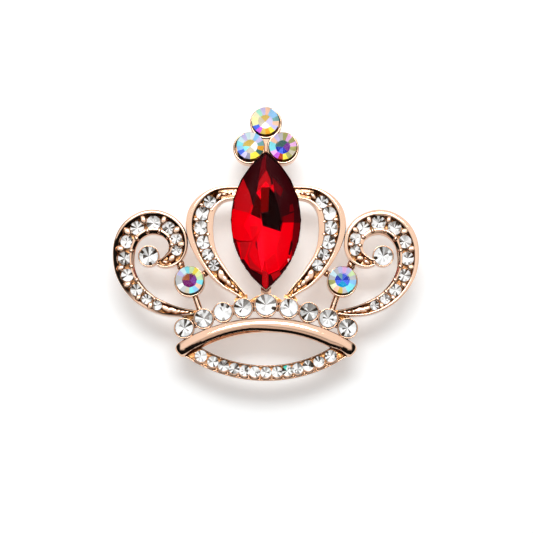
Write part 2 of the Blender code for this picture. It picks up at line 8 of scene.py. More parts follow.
import random
from math import atan2, copysign, cos, pi, radians, sin, sqrt, tau

import bmesh
import bpy
from mathutils import Matrix, Vector


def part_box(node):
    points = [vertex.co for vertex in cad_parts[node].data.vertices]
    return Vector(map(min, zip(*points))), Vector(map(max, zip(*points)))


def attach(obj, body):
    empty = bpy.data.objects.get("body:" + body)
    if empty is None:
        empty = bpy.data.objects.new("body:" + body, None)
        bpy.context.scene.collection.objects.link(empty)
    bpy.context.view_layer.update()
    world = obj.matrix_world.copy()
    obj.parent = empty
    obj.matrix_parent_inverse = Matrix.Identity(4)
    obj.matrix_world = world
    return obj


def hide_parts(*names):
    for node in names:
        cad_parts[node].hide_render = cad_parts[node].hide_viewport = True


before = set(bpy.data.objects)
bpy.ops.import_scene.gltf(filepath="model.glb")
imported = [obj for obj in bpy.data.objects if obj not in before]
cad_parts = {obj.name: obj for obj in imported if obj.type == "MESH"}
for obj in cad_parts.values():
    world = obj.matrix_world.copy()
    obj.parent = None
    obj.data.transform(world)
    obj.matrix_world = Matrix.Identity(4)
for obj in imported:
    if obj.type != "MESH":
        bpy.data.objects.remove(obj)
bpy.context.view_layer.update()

MM = 0.001
# The world's origin over the band's lowest point, and the flat back's place along Y
ORIGIN_Z = 24.4
BACK_Y = -3.6

# The CAD's middle lines of the rails, (x, z, width) from the foot upwards, right-hand side
PETAL = (
    *((3.22, 12.08, 0.7), (4.45, 13.25, 1.05), (5.6, 14.25, 1.6), (6.75, 15.45, 2.3)),
    *((7.8, 16.95, 2.8), (8.6, 18.5, 3.15), (9.15, 20.2, 3.6), (9.4, 22.0, 3.9)),
    *((9.2, 23.65, 3.8), (8.5, 25.0, 3.3), (7.35, 26.05, 2.6), (5.85, 26.65, 2.05)),
    *((3.55, 26.8, 1.7),),
)
SCROLL = (
    *((10.15, 9.72, 0.5), (11.8, 9.78, 0.9), (13.25, 9.98, 1.3), (14.65, 10.35, 1.75)),
    *((16.2, 11.1, 2.15), (17.7, 12.2, 2.45), (19.0, 13.75, 2.65), (19.85, 15.6, 2.85)),
    *((20.1, 17.65, 3.05), (19.85, 19.6, 3.25), (18.95, 21.25, 3.4), (17.4, 22.35, 3.45)),
    *((15.7, 22.6, 3.45), (13.95, 22.0, 3.25), (12.75, 20.75, 3.0), (12.4, 19.15, 2.7)),
    *((12.8, 17.85, 2.2), (13.6, 17.05, 1.6), (14.6, 16.65, 1.0), (15.5, 16.75, 0.7)),
)
# The looks widen the first four stations of each rail, and the last four of the scroll
PETAL_FOOT = ((3.25, 12.08, 0.95), (4.5, 13.2, 1.5), (5.65, 14.2, 2.1), (6.75, 15.45, 2.6))
SCROLL_FOOT = ((10.15, 9.72, 0.7), (11.8, 9.78, 1.2), (13.25, 10.0, 1.6), (14.65, 10.4, 1.95))
SCROLL_NECK = ((12.75, 17.9, 2.45), (13.5, 17.2, 2.1), (14.4, 16.8, 1.5), (15.35, 16.8, 0.9))
# Edges of the band and the bar, as arcs: (height of the apex, radius, half span). The ends of an arc with a
# negative radius lie below its apex.
BAND_BOTTOM = (0.12, 20.7, 11.35)
BAND_TOP = (2.3, 17.8, 9.05)
BAR_BOTTOM = (7.05, -20.3, 11.45)
BAR_TOP = (8.87, -23.2, 12.75)
BAND_CENTRE_Z = BAND_BOTTOM[0] + BAND_BOTTOM[1]
# The wire that bends round each stone of the band: half its spread in radians, its reach in the stone's radii
SCALLOP_SPREAD = 0.85
SCALLOP_REACH = 1.03
SCALLOP_HEIGHT = 1.8
SCALLOP_WIRE = 0.1

# The bar: the height of its crest, how far the crest falls at the ends, and its width over that of its arcs
BAR_HEIGHT = 2.6
BAR_FALL = 0.6
BAR_SPREAD = 1.1
# Its rounded ends, in shares of half its length: how far they reach, and the length of their rounding
BAR_REACH = 1.03
BAR_NOSE = 0.075
# Its round back: (share of its width, drop from its crest in half widths)
BAR_PROFILE = (
    *((0.0, 0.51), (0.012, 0.42), (0.04, 0.32), (0.1, 0.222), (0.2, 0.111)),
    *((0.3, 0.042), (0.4, 0.009), (0.5, 0.0), (0.6, 0.01), (0.7, 0.05)),
    *((0.8, 0.13), (0.9, 0.25), (0.965, 0.34), (0.99, 0.43), (1.0, 0.51)),
)
FULL_BAR_PROFILE = (
    *BAR_PROFILE[:8],
    *((0.55, 0.02), (0.64, 0.1), (0.74, 0.2), (0.82, 0.31), (0.88, 0.46), (0.94, 0.63), (1.0, 0.79)),
)

# Rims, outer and inner: their shares of a rail FULL_RIM_WIDTH wide or wider, and their least widths
RAIL_RIM_SHARES = (0.25, 0.25)
FULL_RIM_WIDTH = 3.4
LEAST_RIMS = (0.24, 0.2)
RAIL_HEIGHTS = (2.25, 2.05)
BAND_RIMS = (0.25, 0.17)
BAND_HEIGHTS = (1.3, 1.5)
# The rims that the rows of stones are centred between
ROW_RIM_SHARES = (0.27, 0.165)
# Heights of the channels' floors, and the shares of the rails' lengths that are filled with stones
FLOOR = 0.85
RAISED_FLOOR = 1.5
PETAL_FILLED = (0.19, 0.84)
SCROLL_FILLED = (0.125, 0.865)

# The stones: (distance along the channel, diameter), the band's from its middle towards both ends
PETAL_ROW = ((5.95, 1.62), (7.7, 1.7), (9.6, 1.98), (11.7, 2.02), (13.75, 1.98), (15.7, 1.82))
SCROLL_ROW = (
    *((5.3, 1.36), (7.05, 1.45), (9.0, 1.75), (11.45, 1.84), (13.9, 1.9), (16.3, 1.9)),
    *((18.75, 2.0), (21.2, 2.08), (23.5, 1.88), (25.4, 1.66), (27.1, 1.5)),
)
BAND_ROW = ((0.0, 1.62), (1.56, 1.62), (3.0, 1.62), (4.5, 1.62), (6.05, 1.62), (7.65, 1.62), (9.5, 1.75))
# A stone is a little smaller than its seat
STONE_FIT = 0.98
# Heights of the stones' girdles, and the long stone's place and size
RAIL_GIRDLE = 1.9
BAND_GIRDLE = 1.68
CUP_GIRDLE = 1.85
FINIAL_GIRDLE = 2.6
SIDE_GIRDLE = 2.3
MARQUISE_Z = 22.55
MARQUISE_HALF_LENGTH = 9.85
MARQUISE_HALF_WIDTH = 4.97
MARQUISE_GIRDLE = 3.7

# Creases sharper than these angles, in degrees, stay sharp
METAL_CREASE = 38
FACET_CREASE = 1

random.seed(7)


# ---- shapes


def spot(x, height, z):
    return Vector((x, BACK_Y - height, z - ORIGIN_Z)) * MM


def spot_between(outer, inner, across, height):
    point = outer.lerp(inner, across)
    return spot(point.x, height, point.y)


def place_of(node):
    """(x, z, radius) of a round CAD stone, in millimetres."""
    low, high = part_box(node)
    middle = (low + high) / 2 / MM
    return middle.x, middle.z + ORIGIN_Z, (high.x - low.x) / 2 / MM


class Shape:
    """Closed shells gathered into one mesh, each with its own material slot."""

    def __init__(self):
        self.points, self.faces, self.slots, self.tints = [], [], [], []

    def add(self, points, faces, slot=0, tint=(1, 1, 1)):
        start = len(self.points)
        self.points.extend(points)
        for i, face in enumerate(faces):
            self.faces.append([start + k for k in face])
            self.slots.append(slot[i] if isinstance(slot, list) else slot)
            self.tints.append(tint[i] if isinstance(tint, list) else tint)

    def build(self, name, materials, slot, replaces=(), sharp=METAL_CREASE, mirror=False):
        mesh = bpy.data.meshes.new(name)
        points = [Vector((-p.x, p.y, p.z)) for p in self.points] if mirror else self.points
        mesh.from_pydata(points, [], self.faces)
        for material in materials:
            mesh.materials.append(material)
        mesh.polygons.foreach_set("material_index", self.slots)
        tint = mesh.color_attributes.new("tint", "FLOAT_COLOR", "CORNER")
        for polygon, colour in zip(mesh.polygons, self.tints):
            for corner in polygon.loop_indices:
                tint.data[corner].color = (*colour, 1)
        work = bmesh.new()
        work.from_mesh(mesh)
        bmesh.ops.recalc_face_normals(work, faces=work.faces)
        work.to_mesh(mesh)
        work.free()
        mesh.shade_smooth()
        mesh.set_sharp_from_angle(angle=radians(sharp))
        obj = bpy.data.objects.new(name, mesh)
        LOOKS.objects.link(obj)
        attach(obj, "crown")
        if replaces:
            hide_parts(*replaces)
        return obj


def loft(rings, hoop=False):
    """A skin over rings of points: capped at both ends, or joined end to end as a hoop."""
    points = [point for ring in rings for point in ring]
    size, count = len(rings[0]), len(rings)
    faces = []
    for row in range(count if hoop else count - 1):
        for i in range(size):
            j = (i + 1) % size
            a, b = row * size, (row + 1) % count * size
            faces.append([a + i, a + j, b + j, b + i])
    if not hoop:
        faces.append(list(range(size)))
        faces.append([len(points) - size + i for i in range(size)])
    return points, faces


def panel(first, second, i):
    """The i-th face between two rings of corners, or between a ring and a tip."""
    j = (i + 1) % len(first)
    if len(second) == 1:
        return [first[i], first[j], second[0]]
    return [first[i], first[j], second[j], second[i]]


def turned(profile, centre, segments, warp=None):
    """A solid turned about the height axis at (x, z). The profile is (radius, height) from axis to axis."""
    rings = []
    for i in range(segments):
        turn = tau * i / segments
        rings.append((cos(turn), sin(turn)))
    points, rows = [], []
    for radius, height in profile:
        if radius == 0:
            rows.append([len(points)] * segments)
            points.append((0, 0, height))
        else:
            rows.append(list(range(len(points), len(points) + segments)))
            points.extend((radius * c, radius * s, height) for c, s in rings)
    faces = []
    for row, above in zip(rows, rows[1:]):
        for i in range(segments):
            j = (i + 1) % segments
            ring = [row[i], row[j], above[j], above[i]]
            faces.append([v for k, v in enumerate(ring) if v not in ring[:k]])
    return [seated(point, centre, warp) for point in points], faces


def seated(point, centre, warp=None):
    """A local (across, up, height) point placed at (x, z), after an optional warp by a matrix."""
    local = Vector(point)
    if warp is not None:
        local = warp @ local
    return spot(centre[0] + local.x, local.z, centre[1] + local.y)


def bead(x, height, z, radius, stretch):
    profile = []
    for i in range(7):
        turn = pi * i / 6
        profile.append((round(radius * sin(turn), 6), height + radius * stretch * cos(turn)))
    return turned(profile, (x, z), 12)


def lump(x, height, z, length, width, tall, turn):
    """A flat-topped ellipsoid with these half sizes, its length along the turn."""
    shape = Matrix.Rotation(turn, 3, "Z") @ Matrix.Diagonal((length, width, 1))
    profile = []
    for i in range(9):
        angle = pi * i / 8
        profile.append((round(sin(angle), 6) ** 0.6, height + tall * cos(angle)))
    return turned(profile, (x, z), 16, shape)


def smooth(points, per_span):
    before = [2 * a - b for a, b in zip(points[0], points[1])]
    after = [2 * a - b for a, b in zip(points[-1], points[-2])]
    run = [before, *points, after]
    curve = []
    for span in zip(run, run[1:], run[2:], run[3:]):
        for step in range(per_span):
            t = step / per_span
            point = []
            for a, b, c, d in zip(*span):
                bend = 2 * a - 5 * b + 4 * c - d + t * (3 * (b - c) + d - a)
                point.append(b + 0.5 * t * (c - a + t * bend))
            curve.append(tuple(point))
    return [*curve, points[-1]]


def stations_of(spine):
    """(outer, inner) edge points along a rail."""
    run = smooth(spine, 8)
    stations = []
    for i, (x, z, width) in enumerate(run):
        before, after = run[max(i - 1, 0)], run[min(i + 1, len(run) - 1)]
        along_rail = Vector((after[0] - before[0], after[1] - before[1])).normalized()
        across = Vector((along_rail.y, -along_rail.x)) * width / 2
        stations.append((Vector((x, z)) + across, Vector((x, z)) - across))
    return stations


def arc_edge(arc, share):
    apex, radius, half_span = arc
    x = half_span * share
    sagitta = abs(radius) - sqrt(radius * radius - x * x)
    return Vector((x, apex + copysign(sagitta, radius)))


def arc_stations(outer, inner, count):
    shares = [-1 + 2 * i / count for i in range(count + 1)]
    return [(arc_edge(outer, share), arc_edge(inner, share)) for share in shares]


def rail_rims(width, shares=RAIL_RIM_SHARES):
    share = min(1.0, width / FULL_RIM_WIDTH)
    return tuple(max(least, share * full * width) for least, full in zip(LEAST_RIMS, shares))


def row_rims(width):
    return rail_rims(width, ROW_RIM_SHARES)


def band_rims(width):
    return BAND_RIMS


def channel_line(stations, rims):
    line = []
    for outer, inner in stations:
        width = (inner - outer).length
        outer_rim, inner_rim = rims(width)
        line.append(outer.lerp(inner, (width + outer_rim - inner_rim) / 2 / width))
    return line


def along(line, distance):
    for a, b in zip(line, line[1:]):
        step = (b - a).length
        if distance <= step:
            return a.lerp(b, distance / step)
        distance -= step
    return line[-1]


def row_of_stones(line, row):
    """(x, z, radius) of the stones set along a channel."""
    places = []
    for distance, diameter in row:
        point = along(line, distance)
        places.append((point.x, point.y, diameter / 2))
    return places


# Profiles of a rim from its outside to the channel: (share of its width, drop from its crest in widths)
BROAD_RIDGE = (
    *((0.0, 0.5), (0.03, 0.3), (0.1, 0.14), (0.22, 0.05), (0.4, 0.0)),
    *((0.6, 0.02), (0.7, 0.07), (0.84, 0.17), (1.0, 0.29)),
)
STEEP_RIDGE = (
    *((0.0, 0.4), (0.03, 0.25), (0.08, 0.12), (0.15, 0.03), (0.22, 0.0)),
    *((0.32, 0.06), (0.5, 0.2), (0.75, 0.39), (1.0, 0.59)),
)
LEDGED_RIDGE = (
    *((0.0, 0.62), (0.03, 0.46), (0.08, 0.4), (0.15, 0.38), (0.18, 0.35)),
    *((0.42, 0.15), (0.52, 0.06), (0.68, 0.0), (1.0, 0.1)),
)
PLAIN_RIDGE = (
    *((0.0, 0.42), (0.03, 0.25), (0.08, 0.12), (0.2, 0.09), (0.35, 0.05)),
    *((0.5, 0.02), (0.65, 0.0), (0.85, 0.02), (1.0, 0.1)),
)


def ridge(profile, start, width, top, facing):
    """(across, height) over one rim, whose outside faces the section's start (1) or its end (-1)."""
    points = [(share, top - drop * width) for share, drop in profile]
    if facing < 0:
        points = [(1 - share, height) for share, height in reversed(points)]
    return [(start + share * width, height) for share, height in points]


def blended(first, second, share):
    """A profile between two others."""
    return [(a + (c - a) * share, b + (d - b) * share) for (a, b), (c, d) in zip(first, second)]


# The first and last face of a channel's section that lie between its rims
FLOOR_FACES = (10, 14)


def channel_section(width, rims, heights, floor, outside=BROAD_RIDGE, inside=LEDGED_RIDGE):
    outer, inner = rims(width)
    fillet = min(0.12, (width - outer - inner) * 0.3)
    edges = []
    for height, profile, rim in zip(heights, (outside, inside), (outer, inner)):
        edges.append(height - (profile[-1][1] + 0.01) * rim)
    return [
        (0.1, 0),
        (0, 0.1),
        *ridge(outside, 0, outer, heights[0], 1),
        (outer, min(floor + fillet, edges[0])),
        (outer + fillet, min(floor, edges[0])),
        (width - inner - fillet, min(floor, edges[1])),
        (width - inner, min(floor + fillet, edges[1])),
        *ridge(inside, width - inner, inner, heights[1], -1),
        (width, 0.1),
        (width - 0.1, 0),
    ]


def rail(stations, section, filled=(0.0, 1.0)):
    """A channel along a rail. Outside the filled shares of its length the floor is raised."""
    rings = []
    last = len(stations) - 1
    for i, (outer, inner) in enumerate(stations):
        width = (inner - outer).length
        beyond = max(filled[0] - i / last, i / last - filled[1], 0.0)
        profile = section(width, min(1.0, beyond / 0.04), i / last)
        rings.append([spot_between(outer, inner, across / width, height) for across, height in profile])
    points, faces = loft(rings)
    size, slots = len(rings[0]), []
    for k in range(len(faces) - 2):
        share = (k // size + 0.5) / last
        low = FLOOR_FACES[0] <= k % size <= FLOOR_FACES[1]
        back = k % size == size - 1
        # Floor faces take the darker recess material (1), painted shade, except past the last stone, where
        # they take the cast one (2) like the back; the rest is polished (0)
        slots.append(2 if back or low and share > filled[1] else 1 if low else 0)
    return points, faces, [*slots, 0, 0]


def tube(points, radius, sides=12):
    """A round wire through (x, height, z) points."""
    path = [Vector(p) for p in points]
    rings = []
    for i, point in enumerate(path):
        step = (path[min(i + 1, len(path) - 1)] - path[max(i - 1, 0)]).normalized()
        side = Vector((0, 1, 0)).cross(step).normalized()
        up = step.cross(side)
        ring = []
        for k in range(sides):
            turn = tau * k / sides
            place = point + (side * cos(turn) + up * sin(turn)) * radius
            ring.append(spot(*place))
        rings.append(ring)
    return loft(rings)


# ---- stones


# The cut of a round stone: its slices, and its sizes in radii
SLICES = 16
TABLE_SHARE = 0.54
RAINBOW_TABLE_SHARE = 0.47
CROWN = 0.3
DEPTH = 0.6
# The one stone of the band that has a green glint, and its slices that show it
GLINT_STONE = 8
GLINT_SLICES = (4, 5)
GLINT = (0.05, 0.75, 0.6)
# A clear stone's slices are painted reflections: the odds of a dark, a grey and a pale one, as (at its foot,
# more at its top)
TONE_ODDS = ((0.07, 0.12), (0.17, 0.22), (0.33, 0.3))
PAINTED_DARK_REFLECTION = (0.05, 0.035, 0.025)
PAINTED_WHITE_SPARKLE = (0.97, 0.97, 0.97)
OWN_TONE_ODDS = 0.4


class Stones:
    """Cut stones: a clear glass body over a foiled one, whose slices are tinted with painted reflections."""

    def __init__(self):
        self.glass, self.foil = Shape(), Shape()

    def brilliant(self, x, z, radius, girdle, turn=0.0, tints=None, glint=None):
        """A round stone, its foil tinted with painted reflections, at random or by 24 tints: 16 outer ones,
        then 8 under the table.
        """
        points = []
        table = RAINBOW_TABLE_SHARE if tints else TABLE_SHARE

        def ring(share, height, count=SLICES, offset=0.0):
            start = len(points)
            for i in range(count):
                angle = turn + tau * (i + offset) / count
                across, up = share * radius * cos(angle), share * radius * sin(angle)
                points.append((across, up, girdle + height * radius))
            return [start + i for i in range(count)]

        top, middle = ring(table, CROWN, 8), ring(0.78, CROWN * 0.55, 8, 0.5)
        edge, under = ring(1.0, 0.02), ring(1.0, -0.09)
        deep, tip = ring(table, -DEPTH * 0.55 - 0.06), ring(0.0, -DEPTH - 0.06, 1)
        faces = [top]
        for i in range(8):
            j = (i + 1) % 8
            left, between, right = edge[2 * i], edge[2 * i + 1], edge[2 * j]
            faces.append([top[i], top[j], middle[i]])
            faces.append([top[j], middle[i], right, middle[j]])
            faces.append([middle[i], left, between])
            faces.append([middle[i], between, right])
        for i in range(SLICES):
            faces.extend([panel(edge, under, i), panel(under, deep, i), panel(deep, tip, i)])
        self.glass.add([seated(p, (x, z)) for p in points], faces)

        points.clear()
        under, back = ring(0.985, -0.04), ring(0.985, -0.07)
        deep, tip = ring(table, -DEPTH * 0.55), ring(0.0, -DEPTH, 1)
        deep_back, tip_back = ring(table, -DEPTH * 0.55 - 0.03), ring(0.0, -DEPTH - 0.03, 1)
        faces, colours = [], []
        for i in range(SLICES):
            angle = turn + tau * (i + 0.5) / SLICES
            faces.extend([panel(under, deep, i), panel(deep, tip, i), panel(under, back, i)])
            faces.extend([panel(back, deep_back, i), panel(deep_back, tip_back, i)])
            outer = tints[i] if tints else painted_reflection_tone(angle)
            if glint and i in GLINT_SLICES:
                outer = glint
            inner = outer
            if tints or random.random() < OWN_TONE_ODDS:
                inner = tints[SLICES + i // 2] if tints else painted_reflection_tone(angle)
            colours.extend([outer, inner, outer, outer, inner])
        self.foil.add([seated(p, (x, z)) for p in points], faces, 0, colours)

    def row(self, places, girdle):
        for x, z, radius in places:
            self.brilliant(x, z, radius * STONE_FIT, girdle, random.random())

    def build(self, name, materials, slot, replaces, mirror=False):
        looks = {"slot": slot, "sharp": FACET_CREASE, "mirror": mirror}
        glass = self.glass.build(f"{name}_glass", materials[:1], replaces=replaces, **looks)
        glass.visible_shadow = False
        self.foil.build(f"{name}_foil", materials[1:], **looks)


def painted_reflection_tone(angle):
    """A painted reflection for one slice of a clear stone, as light from above: mostly white at its foot,
    greyer and darker at its top.
    """
    upper = 0.5 + 0.5 * sin(angle + 0.5)
    pick = random.random()
    dark, grey, pale = [least + more * upper for least, more in TONE_ODDS]
    if pick < dark:
        return PAINTED_DARK_REFLECTION
    if pick < grey:
        level = random.uniform(0.2, 0.4)
        return (level, level * 0.94, level * 0.88)
    if pick < pale:
        level = random.uniform(0.55, 0.8)
        return (level, level, level * 0.99)
    return PAINTED_WHITE_SPARKLE


# Facets seen in the long stone, back to front: a tint and a convex outline, in percent of half its width and
# length from its centre. The tints are painted reflections and glints. Each is a thin plate laid on the ones
# before it.
BLACK, MAROON, DEEP = (0.003, 0.0, 0.0), (0.028, 0.004, 0.006), (0.12, 0.002, 0.006)
MEDIUM, RED, BRIGHT = (0.4, 0.008, 0.014), (0.66, 0.0, 0.008), (0.93, 0.0, 0.014)
FACETS = (
    (RED, ((-110, -110), (110, -110), (110, 110), (-110, 110))),
    (MAROON, ((-66, 65), (-37, 22), (35, -3), (110, -3), (110, 110), (-30, 110))),
    (MEDIUM, ((-64, 63), (-45, 40), (-37, 25), (-46, 11), (-110, 20), (-110, 50))),
    (DEEP, ((-110, 35), (-86, 28), (-87, 17), (-110, 19))),
    (DEEP, ((-110, -15), (-85, -22), (-70, -50), (-72, -62), (-110, -50))),
    (MEDIUM, ((-71, -29), (-45, -31), (-55, -50), (-66, -59))),
    (MAROON, ((-75, -55), (-60, -55), (-42, -69), (-10, -77), (-10, -110), (-50, -100))),
    (MAROON, ((6, -77), (34, -74), (78, -50), (70, -90), (6, -110))),
    (MEDIUM, ((10, -72), (34, -70), (42, -76), (20, -86))),
    (DEEP, ((76, -3), (110, -3), (110, -40), (70, -62), (71, -30))),
    (RED, ((98, -3), (110, -3), (110, -20), (97, -20))),
    (MAROON, ((71, -28), (74, -34), (65, -50), (60, -47), (65, -32))),
    (DEEP, ((45, 5), (76, 12), (76, -3), (45, -3))),
    (DEEP, ((66, 22), (73, 24), (76, 14), (65, 12))),
    (DEEP, ((-20, 57), (0, 70), (0, 97), (-10, 86))),
    (MEDIUM, ((-25, 39), (-19, 56), (1, 72), (11, 60), (17, 40))),
    (DEEP, ((17, 62), (47, 45), (40, 34), (20, 45))),
    (RED, ((14, 50), (20, 52), (22, 40), (12, 44))),
    (BRIGHT, ((-16, 46), (0, 56), (9, 49), (0, 42))),
    (BRIGHT, ((-26, 39), (-13, 46), (-15, 30))),
    ((0.045, 0.0, 0.0), ((-25, 39), (-15, 30), (-15, 2), (-43, 9))),
    ((0.13, 0.0, 0.0), ((-14, 47), (9, 48), (6, 13), (-15, 12))),
    (BLACK, ((9, 48), (21, 40), (34, 24), (45, -3), (6, -3))),
    (BLACK, ((-15, 12), (42, 5), (45, -3), (40, -16), (-9, -8))),
    (RED, ((-110, -4), (-46, -6), (-38, -29), (-74, -29), (-110, -20))),
    (RED, ((45, -3), (76, -3), (70, -21), (34, -29), (40, -16))),
    (MEDIUM, ((-38, -29), (-25, -41), (-10, -75), (-42, -69), (-50, -49))),
    (RED, ((-36, -31), (-24, -40), (-12, -70), (-34, -60), (-46, -48))),
    (RED, ((34, -29), (70, -21), (60, -55), (37, -70), (27, -42))),
    (BRIGHT, ((-2, -55), (27, -42), (37, -70), (4, -77))),
    (RED, ((0, -57), (26, -45), (35, -69), (5, -75))),
    (BRIGHT, ((-9, -8), (40, -16), (34, -29), (27, -42), (-2, -55), (-25, -29))),
    (BRIGHT, ((-61, -7), (-14, 1.5), (-9, -8), (-37, -29))),
    (RED, ((-45, -8), (-20, -7), (-30, -24), (-38, -28))),
    (BRIGHT, ((-45, 9), (-14, 1.5), (-61, -7))),
    ((1.0, 0.004, 0.03), ((-9, -8), (-2, -54), (-10, -75), (-24, -37))),
    (MEDIUM, ((-10, -70), (5, -75), (4, -110), (-6, -110))),
    (DEEP, ((-28, -29), (-23.5, -32), (-22, -42), (-27, -36))),
    # A painted glint: a bright red spot and a small white highlight
    (BRIGHT, ((61, -49), (68, -50), (65, -54.5))),
    ((0.9, 0.9, 0.9), ((60, -55.5), (65, -54.5), (62, -60))),
)


def marquise_outline(scale, count, offset=0.0):
    """(x, z) from the stone's centre: up the right side, then down the left."""
    long, wide = MARQUISE_HALF_LENGTH * scale, MARQUISE_HALF_WIDTH * scale
    radius = (long * long + wide * wide) / (2 * wide)
    ring = []
    for side in (1, -1):
        for i in range(count):
            z = -side * long * cos(pi * (i + offset) / count)
            ring.append((side * (sqrt(max(radius * radius - z * z, 0)) - (radius - wide)), z))
    return ring


def trimmed(polygon, outline):
    """The part of a convex polygon that lies inside an outline that runs anticlockwise."""
    kept = [Vector(p) for p in polygon]
    for start, end in zip(outline, [*outline[1:], outline[0]]):
        start, step = Vector(start), Vector(end) - Vector(start)
        inward = Vector((-step.y, step.x))
        run, kept = kept, []
        for a, b in zip(run, [*run[1:], *run[:1]]):
            depth_a, depth_b = (a - start).dot(inward), (b - start).dot(inward)
            if depth_a >= 0:
                kept.append(a)
            if depth_a * depth_b < 0:
                kept.append(a.lerp(b, depth_a / (depth_a - depth_b)))
    return kept


def plate(outline, low, high):
    """A flat plate between two heights over (x, z) points."""
    size = len(outline)
    points = [(x, z, height) for height in (high, low) for x, z in outline]
    faces = [list(range(size)), list(range(size, 2 * size))]
    for i in range(size):
        j = (i + 1) % size
        faces.append([i, j, size + j, size + i])
    return points, faces


# The long stone's rings of corners, table to back: (share of its outline, height over its girdle, offset)
MARQUISE_RINGS = ((0.46, 1.75, 0.0), (0.76, 1.15, 0.5), (1.0, 0.1, 0.0), (1.0, -0.7, 0.0), (0.995, -1.8, 0.0))
# Its facet plates: the first one's height under the girdle, the step to the next, and their backs' height
PLATE_DEPTH = 0.75
PLATE_STEP = 0.012
PLATE_BACK = MARQUISE_GIRDLE - 1.6
WALL_DEPTH = 0.3


def marquise_stone():
    """A clear red body over facet plates of painted reflections, with a dark wall round them as painted shade
    at the stone's edge.
    """
    centre = (0.0, MARQUISE_Z)
    count = 10
    points, rings = [], []
    for scale, height, offset in MARQUISE_RINGS:
        rings.append(list(range(len(points), len(points) + 2 * count)))
        points.extend((x, z, MARQUISE_GIRDLE + height) for x, z in marquise_outline(scale, count, offset))
    table, middle, edge, under, deep = rings
    faces = [table, deep]
    for i in range(2 * count):
        j = (i + 1) % (2 * count)
        faces.append([table[i], table[j], middle[i]])
        faces.append([table[j], middle[i], middle[j]])
        faces.append([middle[i], edge[i], edge[j]])
        faces.append([middle[i], edge[j], middle[j]])
        faces.extend([panel(edge, under, i), panel(under, deep, i)])
    stone = Stones()
    stone.glass.add([seated(p, centre) for p in points], faces)

    outline = marquise_outline(0.985, 24)
    base = MARQUISE_GIRDLE - PLATE_DEPTH
    for level, (tint, corners) in enumerate(FACETS):
        shape = [(u / 100 * MARQUISE_HALF_WIDTH, v / 100 * MARQUISE_HALF_LENGTH) for u, v in corners]
        points, faces = plate(trimmed(shape, outline), PLATE_BACK, base + PLATE_STEP * level)
        stone.foil.add([seated(p, centre) for p in points], faces, 0, tint)
    outer, inner = marquise_outline(0.99, 24), marquise_outline(0.955, 24)
    low = base - WALL_DEPTH
    edges = ((outer, low), (outer, MARQUISE_GIRDLE - 0.03), (inner, base + 0.02), (inner, low))
    rings = [[seated((*p, height), centre) for p in edge] for edge, height in edges]
    stone.foil.add(*loft(rings, hoop=True), 0, MAROON)
    stone.build("marquise_crystal", RUBIES, "ruby", ["marquise_stone"])


# ---- materials


def new_material(name):
    material = bpy.data.materials.new(name)
    material.use_nodes = True
    return material, material.node_tree, material.node_tree.nodes["Principled BSDF"]


def new_node(tree, kind):
    return tree.nodes.new("ShaderNode" + kind)


def set_inputs(node, values):
    for name, value in values.items():
        node.inputs[name].default_value = value


def noise_node(tree, scale, detail):
    texture = new_node(tree, "TexNoise")
    set_inputs(texture, {"Scale": scale, "Detail": detail})
    place = new_node(tree, "TexCoord")
    tree.links.new(place.outputs["Object"], texture.inputs["Vector"])
    return texture.outputs["Fac"]


def ramp_node(tree, source, low, high, out_low, out_high):
    spread = new_node(tree, "MapRange")
    set_inputs(spread, {"From Min": low, "From Max": high, "To Min": out_low, "To Max": out_high})
    tree.links.new(source, spread.inputs["Value"])
    return spread.outputs["Result"]


def mix_node(tree, share, first, second):
    """A mix by a share from another node, of colours or of other nodes' results."""
    mix = new_node(tree, "Mix")
    mix.data_type = "RGBA"
    tree.links.new(share, mix.inputs["Factor"])
    for name, value in (("A", first), ("B", second)):
        if isinstance(value, tuple):
            mix.inputs[name].default_value = (*value, 1)
        else:
            tree.links.new(value, mix.inputs[name])
    return mix.outputs["Result"]


def plated_metal(name, colour, shade, roughness, bump, ripple):
    """Polished plating: slow ripples, a little variation in gloss, and painted shade in the crevices."""
    material, tree, shader = new_material(name)
    shader.inputs["Metallic"].default_value = 1.0
    cloud = noise_node(tree, 260, 2)
    tone = mix_node(tree, ramp_node(tree, cloud, 0.35, 0.65, 0.0, 0.35), colour, shade)
    # Painted shade: where ambient occlusion finds walls near, the colour turns warm brown, then near black
    shade_mask = new_node(tree, "AmbientOcclusion")
    shade_mask.inputs["Distance"].default_value = PAINTED_SHADE_REACH
    shade_mask.samples = 4
    tone = mix_node(tree, ramp_node(tree, shade_mask.outputs["AO"], 0.45, 0.8, 1.0, 0.0), tone, PAINTED_WARM_SHADE)
    tone = mix_node(tree, ramp_node(tree, shade_mask.outputs["AO"], 0.15, 0.5, 1.0, 0.0), tone, PAINTED_DEEP_SHADE)
    tree.links.new(tone, shader.inputs["Base Color"])
    grain = noise_node(tree, 1800, 3)
    gloss = ramp_node(tree, grain, 0.3, 0.7, roughness * 0.6, roughness * 1.5)
    tree.links.new(gloss, shader.inputs["Roughness"])
    wave = noise_node(tree, ripple, 2)
    bumps = new_node(tree, "Bump")
    set_inputs(bumps, {"Strength": bump, "Distance": RIPPLE_HEIGHT})
    tree.links.new(wave, bumps.inputs["Height"])
    tree.links.new(bumps.outputs["Normal"], shader.inputs["Normal"])
    return material


def glass(name, colour, ior):
    material, _, shader = new_material(name)
    set_inputs(shader, {"Base Color": (*colour, 1), "Transmission Weight": 1.0, "Roughness": 0.0, "IOR": ior})
    return material


def foil(name):
    """The foil behind a stone, tinted slice by slice with painted reflections."""
    material, tree, shader = new_material(name)
    tint = new_node(tree, "Attribute")
    tint.attribute_name = "tint"
    tree.links.new(tint.outputs["Color"], shader.inputs["Base Color"])
    set_inputs(shader, {"Roughness": 0.4, "Specular IOR Level": 0.0})
    return material


ROSE = (0.80, 0.54, 0.395)
ROSE_SHADE = (0.76, 0.47, 0.31)
